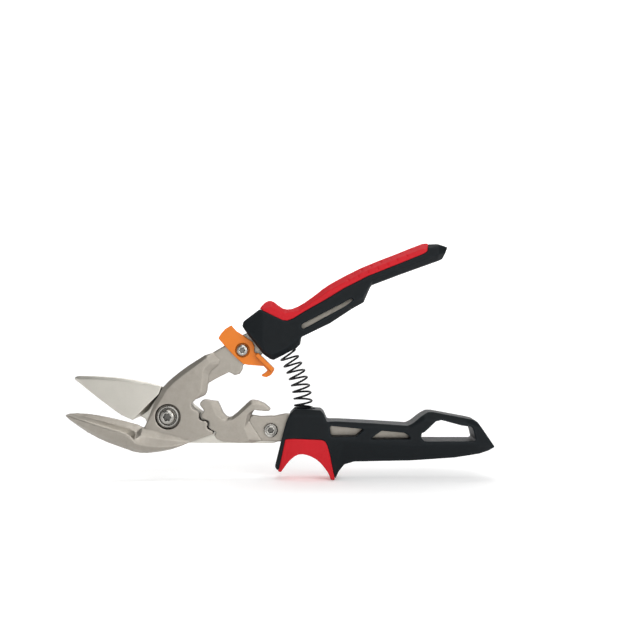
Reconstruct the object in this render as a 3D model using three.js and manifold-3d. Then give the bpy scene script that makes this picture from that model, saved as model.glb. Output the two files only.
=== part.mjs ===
// Compound-action aviation snips, left-cutting offset pattern.
// Millimetres. +X runs from the blade tips to the handle ends, +Z is up, and the side
// with the latch and the screw heads faces -Y. All plan outlines are [x, z] pairs
// measured from the axis of the main pivot, with the parting plane of the plates at y = 0.
import * as THREE from 'three';
import { mergeVertices } from 'three/addons/utils/BufferGeometryUtils.js';
import Module from 'manifold-3d';

const wasm = await Module();
wasm.setup();

// ---------------------------------------------------------------- driving dimensions
const PLATE_THICK = 5.5; // jaw plate and gear lever, in front of the parting plane
const TANG_THICK = 3.8; // thinner tongues that run into the handles
const TAIL_NEAR = 0.3; // near face of the rear plate
const TAIL_FAR = 3.8; // far face of the rear plate
const UPPER_BLADE_NEAR = -3.9; // shearing face of the upper blade
const UPPER_BLADE_FAR = 0.6;
const LOWER_BLADE_FAR = -4.25; // shearing face of the lower blade
const EDGE_BEVEL = 0.8; // broken far edge of the rear plate
const FORGED_BORDER = 0.45; // least width of the sloping border round a forged face
const ROUNDED_BORDER = 2.8; // its width where the edge is rounded generously
const SPINE_BORDER = 1.8; // width of the border along the upper blade's back
const SPINE_LOW = 18; // height from which that border grows
const EDGE_BORDER = 0.3; // width along its cutting edge
const BORDER_SLOPE = 0.45; // fall of that border over its width
const BORDER_DROP = 1.25; // the most that it falls
const TOOTH_GAP = 0.25; // how far the lever's teeth stand off those of the plate
const SCOOP_END = -19; // where the hollow along the lower blade runs out
const SCOOP_RUNOUT = 4;
const SCOOP_SHARE = 0.28; // depth at mid height in the hollow, as a share of the ridge's
const FLANK_SHARE = 0.68; // and behind the hollow
const RUNNING = 0.05; // radial and face clearance of turning parts
const FIT_GAP = 0.3; // gap between moulded and inserted parts

const PIVOT = [0, 0];
const LEVER_PIVOT = [61.1, -8.1];
const TAIL_END_R = 8.4; // rounded end of the rear plate round the lever pivot
const LATCH_PIVOT = [44.4, 39.6];

const BOLT_R = 3.5;
const BOLT_HEAD_R = 4.6;
const BOLT_HEAD_Y = -8.0;
const BOLT_END_Y = 9.4;
const BOLT_SOCKET_R = 2.6;
const BOLT_WASHER_R = 6.4;
const BOLT_SEAT_R = 5.2;
const BOLT_SEAT_DEPTH = 0.7;
const COUNTERBORE_R = 7.5;
const COUNTERBORE_DEPTH = 2.4;
const PIVOT_NUT_R = 5.8;
const PIVOT_REAR_WASHER_R = 6.6;
const WASHER_THICK = 1.15;
const PIVOT_WASHER_THICK = 1.7;
const LEVER_BOLT_R = 3.0;
const LEVER_HEAD_R = 4.2;
const LEVER_SOCKET_R = 1.9;
const LEVER_HEAD_Y = -5.4;
const LEVER_END_Y = 8.2;
const LEVER_NUT_R = 5.2;
const LEVER_WASHER_R = 5.6;
const LATCH_SCREW_R = 2.0;
const LATCH_HEAD_R = 3.5;
const LATCH_HEAD_Y = -7.5;
const LATCH_SOCKET_R = 1.8;
const LATCH_SEAT_R = 4.3;
const LATCH_SEAT_DEPTH = 0.7;
const LATCH_END_Y = 3.3;
const LATCH_NUT_R = 4.0;
const LATCH_NEAR = -6.0;
const LATCH_FAR = -4.4;
const LATCH_STRIP_Y = -9.6;
const LATCH_FOLD_DEPTH = 0.7; // furrow at the foot of the folded strip
const PIVOT_SOCKET_DEPTH = 3;
const LEVER_SOCKET_DEPTH = 2.6;
const LATCH_SOCKET_DEPTH = 1.8;
const STAR_LOBES = 6;

const HANDLE_MID_Y = -1.9; // middle plane of both handles
const HANDLE_HALF = 11; // half thickness of a handle's flat face
const GRIP_HALF = 10; // half thickness near the handle ends
const CHAMFER_RUN = 3.5; // width of the sloping border round a handle's face
const CHAMFER_DROP = 4; // how far that border falls away
const THIN_EDGE = 1.5; // least half thickness that the border falls to
const PAD_WALL = 2.2; // skin of the finger pad over the core

const SPRING_COIL_R = 5.15;
const SPRING_WIRE_R = 0.58;
const SPRING_TURNS = 9.6;
const SPRING_PHASE = 0.33; // turns by which the top end is ahead of the +X side
const SPRING_AXIS = [
  [69.6, 40.2], [71.9, 35.7], [75.6, 27.8], [78.5, 19.7], [80.2, 11.2], [80.9, 0.6],
];
const SPRING_STEPS_PER_TURN = 14;
const POCKET_R = 7.0;
const PEG_R = 3.6;
const PEG_FLANGE_R = 6.2;
const PEG_FLANGE_THICK = 1.2;
const PEG_LENGTH = 4.5;
const PEG_SETBACK = 1.9; // from the last coil's centre to the back of the peg
const POCKET_REACH = 14;

const ROUND_SIDES = 32;
const CUT_SPAN = 60; // longer than any cut goes through
const NUDGE = 1e-5;

// ---------------------------------------------------------------- finishes
const finish = (color, roughness, metalness) => (
  new THREE.MeshStandardMaterial({ color, roughness, metalness })
);
const STEEL = finish(0xa9a297, 0.42, 0.9);
const BRIGHT_STEEL = finish(0xc9c6bc, 0.35, 0.9);
const FASTENER = finish(0x8d8a84, 0.35, 0.9);
const SPRING_STEEL = finish(0x1c1d1f, 0.4, 0.7);
const ORANGE = finish(0xf07f1e, 0.45, 0.1);
const BLACK = finish(0x24272a, 0.55, 0);
const RED = finish(0xd81e28, 0.5, 0);

// ---------------------------------------------------------------- outlines
const UPPER_BLADE_CUT = [
  [-55.8, 21.9], [-49.6, 17.2], [-41.7, 10.9], [-34.9, 5.8], [-28, 0.9], [-21.2, -2.1],
];
const UPPER_BLADE_REAR = [[-6.6, 12.3], [-5.7, 12.9], [-3.8, 17.8]];
const UPPER_BLADE_SPINE = [
  [-3.8, 17.8], [-14.3, 20.5], [-25.8, 22.5], [-38.9, 23.7], [-54, 24.1], [-55.8, 22.6],
];
// Strip behind the bend of the upper blade, where it steps back to the rear plate.
const JOGGLE_NEAR = [
  [-12, 17.6], [-8, 14.4], [-6.9, 12.2], [-13.9, 5.1], [-21.2, -2.1], [-25, 1], [-18, 14],
];
const JOGGLE_FAR = [
  [-12, 17.6], [-7.4, 14.4], [-6.7, 12], [-12, 3.7], [-20.3, -1.7], [-25, 1], [-18, 14],
];
const TAIL_FRONT = [
  [-20.6, -1.9], [-17.4, -0.3], [-14.6, -1.8], [-13.4, -4.4], [-12, -8], [-8, -12.6], [0, -15.6],
  [12.4, -16.3],
];
const TAIL_TOP = [
  [50, -0.8], [28, -1], [22.5, 0.6], [20.1, 2.6], [14.4, 7.1], [10, 13], [4, 16.6], [-3, 17.4],
  [-9, 17.4], [-14, 13],
];

// A point with four numbers also says, in the last two, where the flat face ends beside it.
const PLATE_LEFT = [
  [-13.8, -5.9], [-12.2, -2.2], [-8.4, 7.4], [-5.3, 13.4], [-2.7, 17.9], [2.8, 23.3], [11.7, 30.1],
  [21.9, 36.6],
];
const PLATE_STEP = [
  [26.3, 38, 23.2, 35.4], [30.4, 33.9, 25, 32.3], [30.1, 31.5, 24.4, 31.1], [25.3, 27.4, 21.5, 28.6],
  [24.2, 25.4, 20.8, 27], [23.6, 19.6, 20.3, 19.8], [22.9, 14.5, 19.7, 14.7],
];
const PLATE_SHOULDER = [[21.6, 12.5, 19.2, 13.2], [16.1, 10.1]];
const PLATE_TEETH = [
  [16.1, 10.1], [14.4, 8.3], [14.1, 6.6], [14.7, 5.2], [15.9, 4.1], [17.1, 3.7], [18.4, 2.7],
  [18.8, 1.4], [18.5, -0.3], [19.2, -1.7], [20.6, -2.4], [22.3, -2.4], [23.3, -3.2], [23.8, -4.5],
  [23.3, -6.1], [23.9, -7.1], [25.2, -7.8], [26.5, -8.4], [26.9, -9.2], [26.7, -10.4],
];
const PLATE_FOOT = [[18.5, -13.2], [13.8, -15.1], [9.5, -15.4], [1.9, -15.2], [-4.1, -14.2], [-11, -12]];
const UPPER_TANG = [
  [20, 33], [26, 37.9], [33.2, 42.1], [45.5, 49.3], [62, 53.4], [80, 57.6], [104, 70.6], [115, 77],
  [119, 73.5], [106, 63.2], [82, 49.8], [66, 45.2], [57.4, 39], [55.2, 36.4], [44.3, 30.4],
  [44.1, 27.9], [42.4, 25.3], [39.5, 24.5], [37.8, 25.6], [36.1, 26.4], [27.8, 22.2], [20, 17.5],
];

// One row per station of the lower blade: x, cutting edge z, ridge z, bottom z,
// depth of the ridge and depth of the rear face.
const LOWER_BLADE = [
  [-60.6, 1.2, 0.9, 0.5, -6.0, LOWER_BLADE_FAR],
  [-58.3, 2.0, 0.9, -2.0, -8.4, LOWER_BLADE_FAR],
  [-53.5, 2.2, -0.5, -5.4, -10.4, LOWER_BLADE_FAR],
  [-47.5, 1.8, -2.1, -9.3, -11.6, LOWER_BLADE_FAR],
  [-41.5, 1.0, -4.1, -12.5, -12, LOWER_BLADE_FAR],
  [-35.4, -0.2, -6.1, -15.3, -12, LOWER_BLADE_FAR],
  [-29.4, -1.6, -7.9, -17.5, -12, LOWER_BLADE_FAR],
  [-23.3, -3.1, -10.0, -19.6, -12, LOWER_BLADE_FAR],
  [-20.6, -3.9, -11.8, -20.6, -12, LOWER_BLADE_FAR],
  [-18.4, -4.4, -14.2, -21.1, -11.8, LOWER_BLADE_FAR],
  [-15.2, -6.0, -15.5, -21.6, -11.2, LOWER_BLADE_FAR],
  [-12.6, -6.6, -16.1, -21.6, -10.8, -2],
  [-10.1, -7.0, -16.5, -21.4, -10.4, -0.2],
  [-4, -8.6, -17.1, -20.7, -9.6, 0],
  [2, -10, -17.2, -19.5, -8.7, 0],
  [7, -11.6, -16.4, -17.8, -7.8, 0],
  [13.2, -14, -14.6, -15.2, -5.8, 0],
];

const LEVER_TEETH = [
  [24.8, 9.7], [21.4, 10.2], [20, 9.5], [19, 8.3], [18.8, 7.2], [19.6, 5.8], [20.9, 4.3], [20.9, 3.1],
  [19.8, 1.8], [19.8, 0.1], [20.6, -0.9], [22.3, -1.7], [23.8, -2.4], [24.5, -3.6], [24.4, -4.9],
  [24.1, -6.1], [25, -7.1], [26.1, -8], [27.9, -8.6], [28.2, -9.6], [27.3, -10.9],
];
const LEVER_FOOT = [
  [29, -13.2], [33.1, -14.8], [42.9, -15.5], [50.6, -15.6, 47.4, -14.9], [55.6, -14.2, 48.3, -13.4],
];
const LEVER_STEP = [[48.2, -2.6, 45.3, -6.6], [50.1, 2.2, 47, 1]];
const LEVER_HOOK = [
  [51.4, 4], [58, 3.3], [60.2, 3.5], [60.9, 4.4], [60.6, 5.1], [57.2, 8, 56.4, 6.2],
  [53.2, 9.6, 52.6, 7.3], [50.1, 9.9, 50.2, 7.6], [48.7, 9.6, 49.4, 7.4],
];
const LEVER_NOTCH = [
  [41, 2.4, 42.3, 0.9], [38.1, 0.1, 38.4, -1.9], [36.2, -0.4, 34.6, -2.5], [34.4, 0.4, 31, -1.7],
  [32.8, 2.2, 28.4, 1.2], [29.5, 9.1, 25.9, 7.6],
];
const LOWER_TANG = [
  [47, -3], [50.2, 0.9], [54.4, 0.2], [62.4, 0.2], [69.5, 1.7], [72.6, 1.6], [74, -2.6], [80, -3.4],
  [92, -4.4], [120, -5.2], [146, -8.2], [148, -11.2], [146, -14.2], [120, -13.8], [96, -13.4],
  [80, -15.6], [67.2, -15], [55.5, -14.5], [47, -12],
];

const LATCH_PLATE = [
  [37.7, 54.4], [34, 52.1], [31.8, 49.6], [30, 46.7], [33.5, 42.5], [40, 35.6], [44.8, 31.4],
  [48, 30.8], [57, 30.1], [59.2, 27.6], [57.9, 26.3], [55.8, 25], [56, 24.1], [58.7, 23.5],
  [61.4, 24.9], [63.1, 27.4], [63.3, 29], [53.4, 37.9], [52.2, 37.7], [51.3, 39.1], [51.6, 41.9],
  [50.2, 44.7], [44.8, 48.4], [40.8, 50.9],
];
const LATCH_STRIP = [[52.5, 36.4], [54, 38], [63.3, 29], [61.8, 27.1]];
const LATCH_FURROW = [[52, 36.9], [52.6, 36.5], [62, 27.3], [61.5, 26.8]];

const UPPER_GRIP_UNDER = [
  [55, 63.7], [45.5, 56.6], [44.7, 53.9], [48.4, 48.5], [57.2, 37.4], [61.1, 34.6], [63.1, 34.1],
  [75.8, 40.5], [78.3, 42.9], [79, 47.4], [96.3, 55.7], [109.4, 64.3], [116.1, 68], [119.6, 76.2],
  [120.9, 78.3], [139.5, 85.3], [162.7, 93.6], [164.4, 97.4], [165.6, 100.3], [159.4, 102.1],
  [154.2, 102],
];
const UPPER_SPLIT = [
  [153.3, 97.6], [151.5, 96.3], [135, 89.6], [118.6, 83.1], [105, 76.2], [94, 69.5], [81.7, 62.6],
  [75, 58.4], [71.4, 57], [68.6, 57.3], [62.8, 60.1], [55, 63.7],
];
const UPPER_PAD_TOP = [
  [55.1, 64.2], [57.6, 67.2], [60.1, 68.6], [62.6, 68.2], [67.9, 64.3], [73.9, 63.8], [81.5, 67.6],
  [89.2, 73.2], [96.3, 78.4], [114.4, 87.9], [135.3, 96.2], [151.1, 102.4], [154.2, 102],
];
// x, top edge z, bottom edge z and half thickness of the upper handle's flat face.
const UPPER_FACE = [
  [42, 59, 48.4, 5], [47.5, 60, 48, 9.6], [57, 67, 37, HANDLE_HALF], [62, 68.5, 33.7, HANDLE_HALF],
  [70, 64.6, 37, HANDLE_HALF], [78, 66, 43, HANDLE_HALF], [96, 78.2, 55.2, HANDLE_HALF],
  [116, 88.6, 68.6, 10.6], [121, 90.8, 77.6, 10.4], [150, 102.2, 89, GRIP_HALF],
  [160, 103.6, 92.6, GRIP_HALF], [167, 104, 94, 5.5],
];
const UPPER_SLOT = [
  [79.2, 52.8], [79.3, 54.8], [80.1, 55.5], [104.3, 68], [108.8, 70.6], [110.2, 69.2], [105.6, 65.6],
  [80.7, 52],
];

const LOWER_GRIP_TOP = [
  [193.4, -17.4], [183.2, -2.9], [181.2, -1.5], [175.1, -0.3], [157.1, 3.1], [154.1, 3.1],
  [150.3, 0.9], [145.1, -3.3], [142.1, -4.7], [120, -3.3], [101.4, -2.3], [94.4, -2.3], [92.4, 2.5],
  [90.7, 4.2], [82.5, 4.8], [75.4, 4.8], [72.7, 2.1], [71, -2], [68.6, -10.1], [63.9, -29.1],
  [65.6, -31.4], [67.3, -32],
];
const FINGER_ARCH = [
  [67.3, -32], [71.2, -26.4], [75.6, -22.2], [79.9, -21], [85.3, -22.4], [90.7, -26.1], [95.4, -32.5],
  [96.8, -36.5],
];
const LOWER_GRIP_FOOT = [
  [98.9, -37], [101.4, -31.6], [104.8, -27.6], [110.5, -25.8], [143.5, -25.2], [169.7, -23.5],
  [184.3, -21.2], [189.7, -19.5],
];
// x, top edge z, crease z, bottom edge z, half thickness of the face and at the bottom.
const LOWER_FACE = [
  [61, 2, -10, -38, 6.5, 5.5], [68.5, 4.2, -18, -38, 10.4, 9.4], [74, 6.4, -20, -38, HANDLE_HALF, 10],
  [92, 6.4, -20, -38, HANDLE_HALF, 10], [96.5, 0.6, -14.5, -38, HANDLE_HALF, 8],
  [104, 0.2, -13.4, -26, HANDLE_HALF, 7.4], [143, -1.4, -16, -25.6, HANDLE_HALF, 7.2],
  [152, 4, -16, -25.2, HANDLE_HALF, 7.2], [176, 2, -14.8, -22.8, 10.6, 7.2],
  [184, -1, -14.6, -21.4, 10.2, 7], [195, -10, -17, -21, 6.5, 5.6],
];
const FINGER_PAD = [
  [70.2, -12.6], [74.6, -12.2], [91.4, -12.9], [93.4, -13.9], [94.7, -16.3], [96.4, -23], [98.9, -36],
  [98.6, -40], [62, -40], [66.6, -29.5], [68.4, -21.5],
];
const PAD_CORE_ARCH = [
  [70.8, -22.6], [75.4, -19], [79.9, -17.8], [85.3, -19.2], [89.6, -22.2], [92.8, -25.6],
];
const LOWER_WINDOW = [
  [149.9, -8.6], [151.6, -8.1], [158.2, -1.8], [161.8, -1.1], [173.9, -4.3], [179.2, -4.9],
  [180.3, -6], [182, -13], [180.8, -13.9], [151.6, -13.9], [149.6, -11.5],
];
const LOWER_SLOT_A = [
  [96, -5.2], [96.6, -4.4], [115.4, -6.2], [116.2, -7], [111.6, -11], [97.6, -11.2], [96.6, -10.2],
];
const LOWER_SLOT_B = [
  [126.4, -7.2], [139.8, -8.4], [143, -10.4], [143.6, -12.6], [120.6, -12.6], [120, -11.9],
];

// ---------------------------------------------------------------- shape helpers
// Points on a smooth curve through the given ones.
function smooth(points, perSpan) {
  const vectors = points.map(([x, z]) => new THREE.Vector2(x, z));
  const curve = new THREE.SplineCurve(vectors);
  return curve.getPoints(perSpan * (points.length - 1)).map((p) => [p.x, p.y]);
}

// Points on a circle between two angles in degrees.
function arc([x, z], radius, from, to, steps) {
  return Array.from({ length: steps + 1 }, (_, i) => {
    const angle = THREE.MathUtils.degToRad(from + ((to - from) * i) / steps);
    return [x + radius * Math.cos(angle), z + radius * Math.sin(angle)];
  });
}

// Drops points that repeat their neighbour, also across the closing edge.
function tidyLoop(points) {
  return points.filter(([x, z], i) => {
    const [px, pz] = points[(i + points.length - 1) % points.length];
    return Math.hypot(x - px, z - pz) > 0.05;
  });
}

const signedArea = (loop) => loop.reduce((sum, [x, z], i) => {
  const [nx, nz] = loop[(i + 1) % loop.length];
  return sum + (x * nz - nx * z) / 2;
}, 0);

// Moves every side of a closed outline inwards (positive) or outwards (negative), by one
// distance or by a function that gives it at each point.
function inset(loop, distance) {
  const distanceAt = typeof distance === 'function' ? distance : () => distance;
  const turn = Math.sign(signedArea(loop));
  return loop.map(([x, z], i) => {
    const side = turn * distanceAt([x, z]);
    const [ax, az] = loop[(i + loop.length - 1) % loop.length];
    const [bx, bz] = loop[(i + 1) % loop.length];
    const before = new THREE.Vector2(x - ax, z - az).normalize();
    const after = new THREE.Vector2(bx - x, bz - z).normalize();
    const mean = new THREE.Vector2(-before.y - after.y, before.x + after.x).normalize();
    const stretch = Math.max(mean.x * -before.y + mean.y * before.x, 0.5);
    return [x + (mean.x * side) / stretch, z + (mean.y * side) / stretch];
  });
}

// Closed body from positions and triangles; turned right side out when needed.
function solid(positions, triangles) {
  let volume = 0;
  const corner = (k) => new THREE.Vector3().fromArray(positions, 3 * k);
  for (let t = 0; t < triangles.length; t += 3) {
    const [a, b, c] = [0, 1, 2].map((k) => corner(triangles[t + k]));
    volume += a.dot(b.cross(c)) / 6;
  }
  const order = volume < 0 ? [0, 2, 1] : [0, 1, 2];
  const indices = triangles.map((_, i) => triangles[i - (i % 3) + order[i % 3]]);
  return new wasm.Manifold(new wasm.Mesh({
    numProp: 3,
    vertProperties: new Float32Array(positions),
    triVerts: new Uint32Array(indices),
  }));
}

// Triangles that fill a loop, wound the same way as the loop itself. A nudge far below any
// real size keeps points on straight sides from being dropped.
function capTriangles(loop) {
  const contour = loop.map(([u, v], i) => new THREE.Vector2(u + NUDGE * Math.sin(7 * i), v));
  return THREE.ShapeUtils.triangulateShape(contour, []).map((face) => {
    const sameWay = signedArea(face.map((k) => loop[k])) * signedArea(loop) > 0;
    return sameWay ? face : [...face].reverse();
  });
}

// Body through rings of equal point count, closed by the two given caps.
function skin(rings, firstCap, lastCap) {
  const count = rings[0].length;
  const positions = rings.flat(2);
  const triangles = [];
  for (let r = 0; r < rings.length - 1; r += 1) {
    for (let i = 0; i < count; i += 1) {
      const a = r * count + i;
      const b = r * count + ((i + 1) % count);
      triangles.push(a, b, a + count, b, b + count, a + count);
    }
  }
  const last = (rings.length - 1) * count;
  firstCap.forEach(([a, b, c]) => triangles.push(a, c, b));
  lastCap.forEach(([a, b, c]) => triangles.push(last + a, last + b, last + c));
  return solid(positions, triangles);
}

// Body through cross sections that each lie in a plane of constant x.
function lengthwise(rings) {
  const endView = (ring) => ring.map(([, y, z]) => [y, z]);
  return skin(rings, capTriangles(endView(rings[0])), capTriangles(endView(rings[rings.length - 1])));
}

// Flat body between two depths; slices are [y, outline] from front to back.
function stack(slices) {
  const widest = slices.reduce((best, [, loop]) => (
    Math.abs(signedArea(loop)) > Math.abs(signedArea(best)) ? loop : best
  ), slices[0][1]);
  const cap = capTriangles(widest);
  const rings = slices.map(([y, loop]) => loop.map(([x, z]) => [x, y, z]));
  return skin(rings, cap, cap);
}

// Plate with a broken edge on its near and far side.
function plate(loop, near, far, nearBevel, farBevel) {
  const slices = [];
  if (nearBevel > 0) {
    slices.push([near, inset(loop, nearBevel)], [near + 0.7 * nearBevel, loop]);
  } else {
    slices.push([near, loop]);
  }
  if (farBevel > 0) {
    slices.push([far - 0.7 * farBevel, loop], [far, inset(loop, farBevel)]);
  } else {
    slices.push([far, loop]);
  }
  return stack(slices);
}

const prism = (loop, near, far) => stack([[near, loop], [far, loop]]);

// Forged plate: its near face ends in a border that falls away in proportion to its width.
function forging(loop, near, far, border, farBevel) {
  const narrow = inset(loop, border);
  const face = loop.map((point, i) => (point.length > 2 ? point.slice(2) : narrow[i]));
  const level = (outline, y) => outline.map(([x, z]) => [x, y, z]);
  const rim = loop.map(([x, z], i) => {
    const width = Math.hypot(x - face[i][0], z - face[i][1]);
    return [x, near + Math.min(BORDER_SLOPE * width, BORDER_DROP), z];
  });
  const rings = [level(face, near), rim, level(loop, far - farBevel)];
  if (farBevel > 0) {
    rings.push(level(inset(loop, farBevel), far));
  }
  const cap = capTriangles(loop);
  return skin(rings, cap, cap);
}

// Turned body round an axis along Y; the profile is a list of [radius, y].
function turned([x, z], profile, sides = ROUND_SIDES) {
  const points = profile.map(([r, y]) => new THREE.Vector2(r, y));
  const geometry = new THREE.LatheGeometry([...points, points[0]], sides);
  geometry.translate(x, 0, z);
  return fromGeometry(geometry);
}

function fromGeometry(geometry) {
  geometry.deleteAttribute('normal');
  geometry.deleteAttribute('uv');
  const merged = mergeVertices(geometry, 1e-4);
  const index = [...merged.index.array];
  const kept = [];
  for (let t = 0; t < index.length; t += 3) {
    const [a, b, c] = index.slice(t, t + 3);
    if (a !== b && b !== c && c !== a) {
      kept.push(a, b, c);
    }
  }
  return solid([...merged.attributes.position.array], kept);
}

// Plain or bevelled ring with a through hole.
const ring = (centre, inner, outer, near, far, bevel) => turned(centre, [
  [inner, near], [outer - bevel, near], [outer, near + bevel], [outer, far - bevel],
  [outer - bevel, far], [inner, far],
]);

const bore = (centre, radius, near, far) => turned(centre, [
  [0, near], [radius, near], [radius, far], [0, far],
]);

// Regular outline with the given number of corners.
function regular([x, z], radius, corners) {
  return Array.from({ length: corners }, (_, i) => {
    const angle = ((i + 0.5) * 2 * Math.PI) / corners;
    return [x + radius * Math.cos(angle), z + radius * Math.sin(angle)];
  });
}

// Lobed recess of a star drive.
function starOutline([x, z], radius) {
  const steps = STAR_LOBES * 4;
  return Array.from({ length: steps }, (_, i) => {
    const angle = (i * 2 * Math.PI) / steps;
    const reach = radius * (0.87 + 0.13 * Math.cos(STAR_LOBES * angle));
    return [x + reach * Math.cos(angle), z + reach * Math.sin(angle)];
  });
}

const starSocket = (centre, radius, headY, depth) => (
  prism(starOutline(centre, radius), headY - 1, headY + depth)
);

// Hexagon nut with rounded corners and a clear bore.
function hexNut(centre, radius, boreRadius, near, far) {
  const body = prism(regular(centre, radius, 6), near, far);
  const rounded = turned(centre, [
    [0, near], [radius * 0.9, near], [radius, near + 0.6], [radius, far - 0.8],
    [radius * 0.86, far], [0, far],
  ]);
  return body.intersect(rounded).subtract(bore(centre, boreRadius, near - 1, far + 1));
}

// Round bar along a straight line in the middle plane of the handles.
function peg(from, to, radius) {
  const start = new THREE.Vector3(from[0], HANDLE_MID_Y, from[1]);
  const end = new THREE.Vector3(to[0], HANDLE_MID_Y, to[1]);
  const direction = end.clone().sub(start);
  const geometry = new THREE.CylinderGeometry(radius, radius, direction.length(), ROUND_SIDES);
  const upright = new THREE.Vector3(0, 1, 0);
  geometry.applyQuaternion(new THREE.Quaternion().setFromUnitVectors(upright, direction.normalize()));
  geometry.translate(...start.add(end).multiplyScalar(0.5).toArray());
  return fromGeometry(geometry);
}

const along = (from, to, distance) => {
  const length = Math.hypot(to[0] - from[0], to[1] - from[1]);
  return [0, 1].map((k) => from[k] + ((to[k] - from[k]) * distance) / length);
};

// ---------------------------------------------------------------- jaws and lever
function upperJaw() {
  const bladeLoop = tidyLoop([
    ...smooth(UPPER_BLADE_CUT, 2), ...UPPER_BLADE_REAR, ...smooth(UPPER_BLADE_SPINE, 2),
  ]);
  const spineBorder = ([, z]) => THREE.MathUtils.clamp(z - SPINE_LOW, EDGE_BORDER, SPINE_BORDER);
  const blade = forging(bladeLoop, UPPER_BLADE_NEAR, UPPER_BLADE_FAR, spineBorder, 1.5);
  const joggle = stack([[UPPER_BLADE_NEAR + 0.3, JOGGLE_NEAR], [TAIL_NEAR + 0.4, JOGGLE_FAR]]);
  const web = prism([[-12, 16], [-9, 12], [-17, 2], [-22, 2.4], [-20, 12]], -1, 2.6);
  const tailLoop = [...TAIL_FRONT, ...arc(LEVER_PIVOT, TAIL_END_R, -90, 90, 12), ...TAIL_TOP];
  const tail = plate(tailLoop, TAIL_NEAR, TAIL_FAR, 0.3, EDGE_BEVEL);
  return blade.add(joggle).add(web).add(tail)
    .subtract(bore(PIVOT, BOLT_R + RUNNING, -1, TAIL_FAR + 1))
    .subtract(bore(LEVER_PIVOT, LEVER_BOLT_R + RUNNING, -1, TAIL_FAR + 1));
}

function lowerBlade() {
  const rings = LOWER_BLADE.map(([x, edge, ridge, bottom, ridgeY, farY]) => {
    const nearY = LOWER_BLADE_FAR - 0.75;
    const filled = THREE.MathUtils.smoothstep(x, SCOOP_END, SCOOP_END + SCOOP_RUNOUT);
    const share = THREE.MathUtils.lerp(SCOOP_SHARE, FLANK_SHARE, filled);
    const scoopY = nearY + share * (ridgeY - nearY);
    const bellyY = 0.62 * ridgeY - 2.4;
    return [
      [x, farY, edge],
      [x, nearY, edge - 0.1],
      [x, scoopY, edge + 0.5 * (ridge - edge)],
      [x, ridgeY + 0.5, ridge + 0.12 * (edge - ridge)],
      [x, ridgeY, ridge - 0.08 * (ridge - bottom)],
      [x, bellyY, ridge + 0.62 * (bottom - ridge)],
      [x, Math.min(ridgeY * 0.5, LOWER_BLADE_FAR - 0.5), bottom],
      [x, farY, bottom + 0.1 * (edge - bottom)],
    ];
  });
  return lengthwise(rings);
}

function lowerJaw() {
  const loop = tidyLoop([
    ...smooth(PLATE_LEFT, 2), ...PLATE_STEP, ...PLATE_SHOULDER, ...smooth(PLATE_TEETH, 2), ...PLATE_FOOT,
  ]);
  // The border widens towards the upper left, where z exceeds x the most.
  const border = ([x, z]) => (
    THREE.MathUtils.clamp(0.24 * (z - x) - 1.6, FORGED_BORDER, ROUNDED_BORDER)
  );
  const front = forging(loop, -PLATE_THICK, 0, border, 0);
  const tang = plate(UPPER_TANG, -TANG_THICK, 0, 0.5, 0);
  return front.add(tang).add(lowerBlade())
    .subtract(bore(PIVOT, COUNTERBORE_R, -PLATE_THICK - 9, -PLATE_THICK + COUNTERBORE_DEPTH))
    .subtract(bore(PIVOT, BOLT_R + RUNNING, -CUT_SPAN, CUT_SPAN))
    .subtract(bore(LATCH_PIVOT, LATCH_SCREW_R + RUNNING, -CUT_SPAN, CUT_SPAN));
}

function gearLever() {
  const teeth = smooth(LEVER_TEETH, 2).map(([x, z]) => [x + TOOTH_GAP, z]);
  const loop = tidyLoop([
    ...teeth, ...LEVER_FOOT, ...LEVER_STEP, ...LEVER_HOOK, ...LEVER_NOTCH,
  ]);
  const head = forging(loop, -PLATE_THICK, 0, FORGED_BORDER, 0);
  const tang = plate(LOWER_TANG, -TANG_THICK, 0, 0.5, 0);
  return head.add(tang).subtract(bore(LEVER_PIVOT, LEVER_BOLT_R + RUNNING, -CUT_SPAN, CUT_SPAN));
}

// ---------------------------------------------------------------- fasteners
const PIVOT_SEAT_FLOOR = -PLATE_THICK + COUNTERBORE_DEPTH - RUNNING;
const PIVOT_WASHER_NEAR = PIVOT_SEAT_FLOOR - PIVOT_WASHER_THICK;

function pivotBolt() {
  const headFar = PIVOT_WASHER_NEAR + BOLT_SEAT_DEPTH - RUNNING;
  const body = turned(PIVOT, [
    [0, BOLT_HEAD_Y], [3.1, BOLT_HEAD_Y], [4.0, BOLT_HEAD_Y + 0.4], [BOLT_HEAD_R, BOLT_HEAD_Y + 1.4],
    [BOLT_HEAD_R, headFar], [BOLT_R, headFar], [BOLT_R, BOLT_END_Y - 0.5], [BOLT_R - 0.5, BOLT_END_Y],
    [0, BOLT_END_Y],
  ]);
  return body.subtract(starSocket(PIVOT, BOLT_SOCKET_R, BOLT_HEAD_Y, PIVOT_SOCKET_DEPTH));
}

// Washer with a round seat that the bolt's head sinks into.
function pivotWasher() {
  const bevel = 0.3;
  return turned(PIVOT, [
    [BOLT_R + RUNNING, PIVOT_WASHER_NEAR + BOLT_SEAT_DEPTH],
    [BOLT_SEAT_R, PIVOT_WASHER_NEAR + BOLT_SEAT_DEPTH], [BOLT_SEAT_R, PIVOT_WASHER_NEAR],
    [BOLT_WASHER_R - bevel, PIVOT_WASHER_NEAR], [BOLT_WASHER_R, PIVOT_WASHER_NEAR + bevel],
    [BOLT_WASHER_R, PIVOT_SEAT_FLOOR], [BOLT_R + RUNNING, PIVOT_SEAT_FLOOR],
  ]);
}

const REAR_STACK = TAIL_FAR + RUNNING;
const rearWasher = (centre, boltRadius, radius) => (
  ring(centre, boltRadius + RUNNING, radius, REAR_STACK, REAR_STACK + WASHER_THICK, 0.2)
);
const NUT_NEAR = REAR_STACK + WASHER_THICK + RUNNING;

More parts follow.
